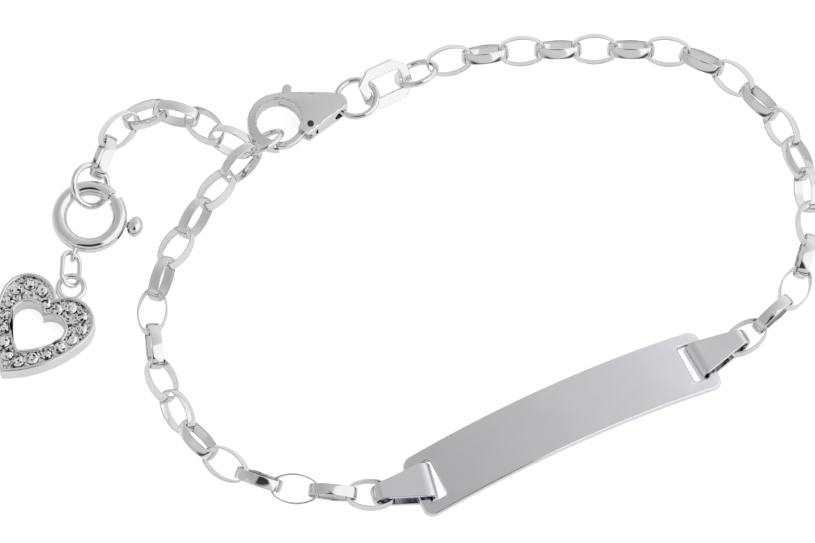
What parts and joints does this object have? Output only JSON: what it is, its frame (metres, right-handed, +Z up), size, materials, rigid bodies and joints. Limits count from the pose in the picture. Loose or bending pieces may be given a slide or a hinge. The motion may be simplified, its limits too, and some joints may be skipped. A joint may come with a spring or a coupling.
{
  "type": "identity bracelet",
  "caption": "Polished silver identity bracelet laid open: bent name plate on belcher chain, lobster clasp, and an extension chain with a spring ring and a stone-set open heart.",
  "frame": {"origin": "centre of the bounding box, at its lowest level", "axes": "+Z up from the surface the bracelet lies on, +X along the picture from the heart charm to the far bend of the chain, +Y away from the camera"},
  "size_m": [0.0639, 0.04, 0.0029],
  "materials": {
    "plate_metal": "polished silver",
    "chain_metal": "polished silver",
    "ring_metal": "polished silver",
    "clasp_metal": "polished silver",
    "rivet_metal": "satin steel",
    "heart_metal": "polished silver",
    "stones": "clear cut stones"
  },
  "bodies": {
    "bracelet": {"id_plate": "plate_metal", "bail_left": "plate_metal", "bail_right": "plate_metal", "left_link_01": "chain_metal", "left_link_02": "chain_metal", "left_link_03": "chain_metal", "left_link_04": "chain_metal", "left_link_05": "chain_metal", "left_link_06": "chain_metal", "left_link_07": "chain_metal", "left_link_08": "chain_metal", "left_link_09": "chain_metal", "left_link_10": "chain_metal", "left_link_11": "chain_metal", "left_link_12": "chain_metal", "left_link_13": "chain_metal", "left_link_14": "chain_metal", "left_link_15": "chain_metal", "right_link_01": "chain_metal", "right_link_02": "chain_metal", "right_link_03": "chain_metal", "right_link_04": "chain_metal", "right_link_05": "chain_metal", "right_link_06": "chain_metal", "right_link_07": "chain_metal", "right_link_08": "chain_metal", "right_link_09": "chain_metal", "right_link_10": "chain_metal", "right_link_11": "chain_metal", "right_link_12": "chain_metal", "right_link_13": "chain_metal", "right_link_14": "chain_metal", "right_link_15": "chain_metal", "right_link_16": "chain_metal", "right_link_17": "chain_metal", "right_link_18": "chain_metal", "extension_link_1": "chain_metal", "extension_link_2": "chain_metal", "extension_link_3": "chain_metal", "extension_link_4": "chain_metal", "extension_link_5": "chain_metal", "extension_link_6": "chain_metal", "end_ring": "ring_metal", "lobster_body": "clasp_metal", "lobster_rivet": "rivet_metal", "clasp_ring": "ring_metal", "tag_link": "plate_metal", "chain_ring": "ring_metal", "charm_ring": "ring_metal", "spring_ring_body": "clasp_metal", "charm_link": "ring_metal", "heart": "heart_metal", "heart_stones": "stones"},
    "clasp_lever": {"lobster_lever": "clasp_metal"},
    "ring_bolt": {"spring_ring_bolt": "clasp_metal"}
  },
  "joints": [
    {"name": "clasp_lever_hinge", "type": "hinge", "parent": "bracelet", "child": "clasp_lever", "pos_m": [-0.00781, 0.0121, 0.00115], "axis": [0, 0, 1], "range_deg": [-12, 0], "stiffness_Nm_per_rad": 0.0005, "springref_deg": 11.46},
    {"name": "ring_bolt_slide", "type": "hinge", "parent": "bracelet", "child": "ring_bolt", "pos_m": [-0.0248, 0.00465, 0.00095], "axis": [0, -0.0872, 0.9962], "range_deg": [-20, 0], "stiffness_Nm_per_rad": 0.0005, "springref_deg": 17.19}
  ]
}
